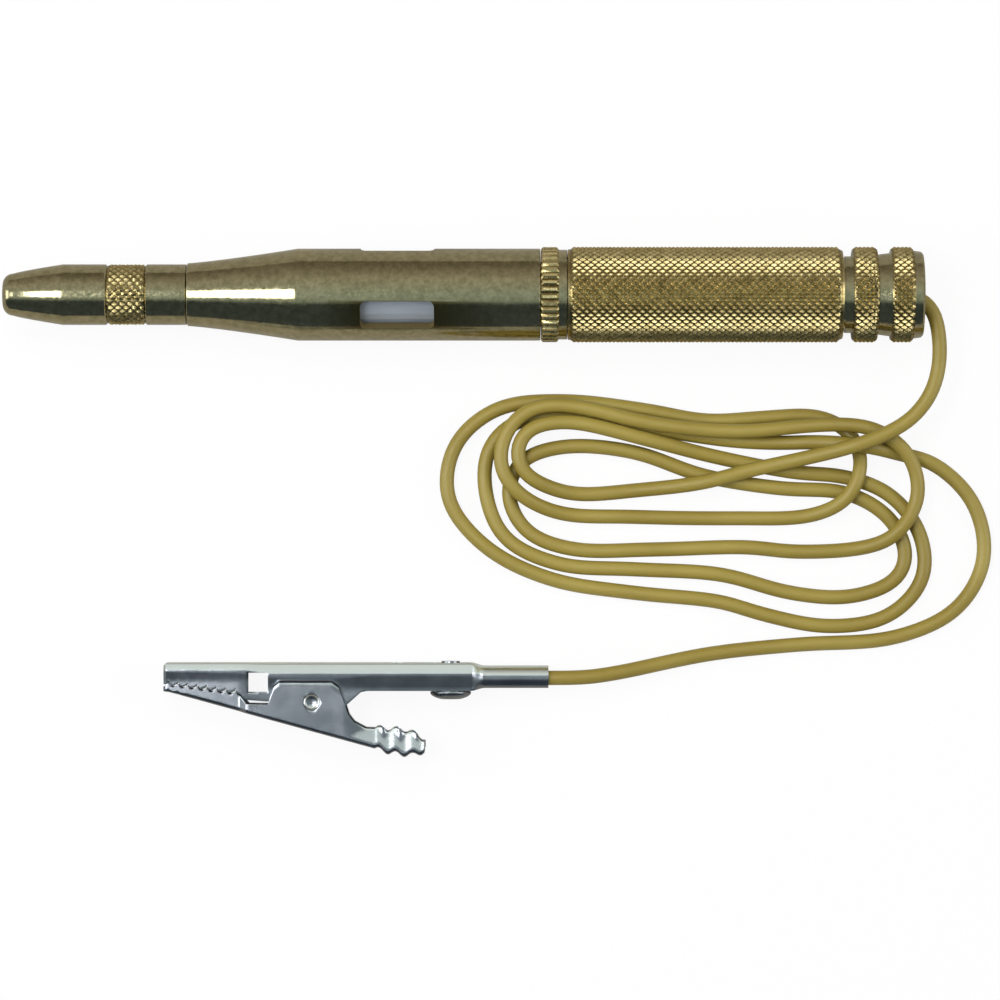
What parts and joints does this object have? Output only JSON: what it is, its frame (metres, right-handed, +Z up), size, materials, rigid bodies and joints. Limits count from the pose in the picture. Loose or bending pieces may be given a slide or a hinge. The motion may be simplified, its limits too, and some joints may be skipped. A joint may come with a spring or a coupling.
{
  "type": "automotive test light",
  "caption": "Turned brass probe pen with a lamp behind slotted windows, a knurled handle, a screw-on needle guard, a looped soft lead and a toothed spring clip.",
  "frame": {"origin": "on the plane the part lies on, under the middle of the pen's box without the lead and its clip", "axes": "+X along the pen from its needle end to the lead's exit, +Z up from the plane, the lead and clip lie towards -Y"},
  "size_m": [0.1291, 0.0666, 0.0125],
  "materials": {
    "brass": "turned and knurled, satin, slightly darkened",
    "bright_steel": "drawn and nickel plated",
    "clip_steel": "pressed sheet, zinc plated",
    "copper": "bare copper strands",
    "nylon": "moulded, natural",
    "clear_tube": "clear extruded tube",
    "lamp_glass": "clear drawn glass",
    "lead_vinyl": "extruded soft vinyl, mustard"
  },
  "bodies": {
    "pen": {"front_body": "brass", "coupling_ring": "brass", "knurled_handle": "brass", "rear_cap": "brass", "probe_needle": "bright_steel", "needle_bush": "nylon", "window_tube": "clear_tube", "lamp_glass": "lamp_glass", "lamp_cap_front": "bright_steel", "lamp_cap_rear": "bright_steel", "handle_liner": "nylon", "contact_spring": "bright_steel", "lead_terminal": "brass", "lead_bush": "nylon", "lead": "lead_vinyl", "lead_strands": "copper", "clip_fixed_jaw": "clip_steel", "clip_pivot_pin": "clip_steel", "clip_spring": "bright_steel", "clip_screw": "clip_steel"},
    "needle_guard": {"needle_cap": "brass"},
    "clip_lever": {"clip_moving_jaw": "clip_steel"}
  },
  "joints": [
    {"name": "needle_cap_slide", "type": "slide", "parent": "pen", "child": "needle_guard", "axis": [-1, 0, 0], "range_m": [0, 0.03]},
    {"name": "clip_jaw_hinge", "type": "hinge", "parent": "pen", "child": "clip_lever", "pos_m": [-0.0197, -0.0532, 0.0035], "axis": [0, 0, 1], "range_deg": [0, 20], "stiffness_Nm_per_rad": 0.02, "springref_deg": -45.84, "deforming": ["clip_spring"]}
  ]
}
